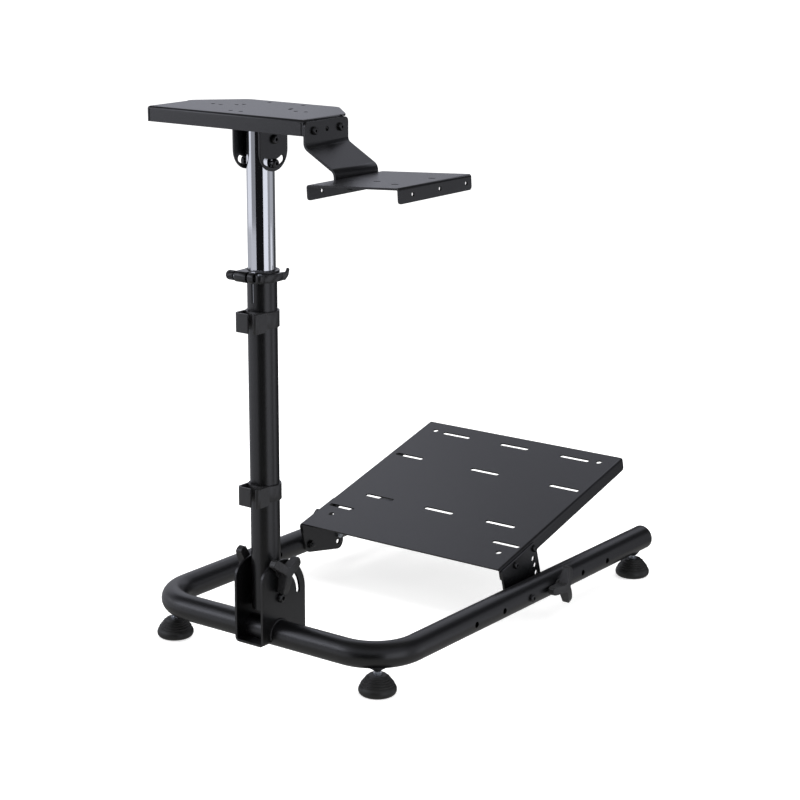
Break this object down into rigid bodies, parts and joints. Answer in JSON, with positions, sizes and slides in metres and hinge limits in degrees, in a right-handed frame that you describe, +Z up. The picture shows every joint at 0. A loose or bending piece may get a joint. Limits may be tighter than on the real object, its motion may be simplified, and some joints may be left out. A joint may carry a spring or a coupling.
{
  "type": "racing wheel stand",
  "caption": "Tubular steel stand on levelling feet: a tilting, height-adjustable column carries a wheel plate and a side shifter plate, with a sloped pedal plate between the legs.",
  "frame": {"origin": "on the floor, under the middle of the stand's overall box", "axes": "+X to the driver's right, +Y away from the driver, +Z up"},
  "size_m": [0.6472, 0.92, 0.885],
  "materials": {
    "powder_coated_steel": "satin black powder coat",
    "chrome_plate": "bright chrome plate",
    "moulded_plastic": "black moulded plastic, matte",
    "clamp_plastic": "black moulded nylon",
    "rubber": "black moulded rubber",
    "zinc_plate": "bright zinc plate",
    "blackened_steel": "black oxide"
  },
  "bodies": {
    "base": {"base_frame": "powder_coated_steel", "column_bracket": "powder_coated_steel", "front_left_foot": "rubber", "front_left_foot_stud": "zinc_plate", "front_right_foot": "rubber", "front_right_foot_stud": "zinc_plate", "left_deck_bolts": "blackened_steel", "left_end_cap": "moulded_plastic", "left_leg_bolt": "blackened_steel", "left_pedal_bracket": "powder_coated_steel", "left_pedal_knob": "moulded_plastic", "left_pedal_knob_bolt": "zinc_plate", "pedal_plate": "powder_coated_steel", "pivot_bolt": "blackened_steel", "rear_left_foot": "rubber", "rear_left_foot_stud": "zinc_plate", "rear_right_foot": "rubber", "rear_right_foot_stud": "zinc_plate", "right_deck_bolts": "blackened_steel", "right_end_cap": "moulded_plastic", "right_leg_bolt": "blackened_steel", "right_pedal_bracket": "powder_coated_steel", "right_pedal_knob": "moulded_plastic", "right_pedal_knob_bolt": "zinc_plate"},
    "column": {"lower_column": "powder_coated_steel", "tilt_bolt": "blackened_steel", "left_tilt_knob": "moulded_plastic", "right_tilt_knob": "moulded_plastic", "clamp_collar": "clamp_plastic", "clamp_skewer": "zinc_plate", "clamp_nut": "clamp_plastic", "lower_cable_clip": "moulded_plastic", "upper_cable_clip": "moulded_plastic"},
    "upper_column": {"upper_column": "chrome_plate", "plate_pivot_bolt": "blackened_steel", "plate_lock_bolt": "blackened_steel"},
    "wheel_head": {"wheel_plate": "powder_coated_steel", "left_ear": "powder_coated_steel", "right_ear": "powder_coated_steel", "shifter_arm": "powder_coated_steel", "shifter_plate": "powder_coated_steel", "shifter_bolts": "blackened_steel"},
    "clamp_lever": {"clamp_lever": "clamp_plastic"}
  },
  "joints": [
    {"name": "column_tilt", "type": "hinge", "parent": "base", "child": "column", "pos_m": [-0.04594, -0.312, 0.1215], "axis": [-1, 0, 0], "range_deg": [0, 70]},
    {"name": "column_height", "type": "slide", "parent": "column", "child": "upper_column", "axis": [0, 0, 1], "range_m": [-0.14, 0.06]},
    {"name": "wheel_plate_tilt", "type": "hinge", "parent": "upper_column", "child": "wheel_head", "pos_m": [-0.04594, -0.312, 0.84], "axis": [-1, 0, 0], "range_deg": [-30, 30]},
    {"name": "clamp_lever_swing", "type": "hinge", "parent": "column", "child": "clamp_lever", "pos_m": [-0.02565, -0.34105, 0.6325], "axis": [0, 0, -1], "range_deg": [0, 120]}
  ]
}
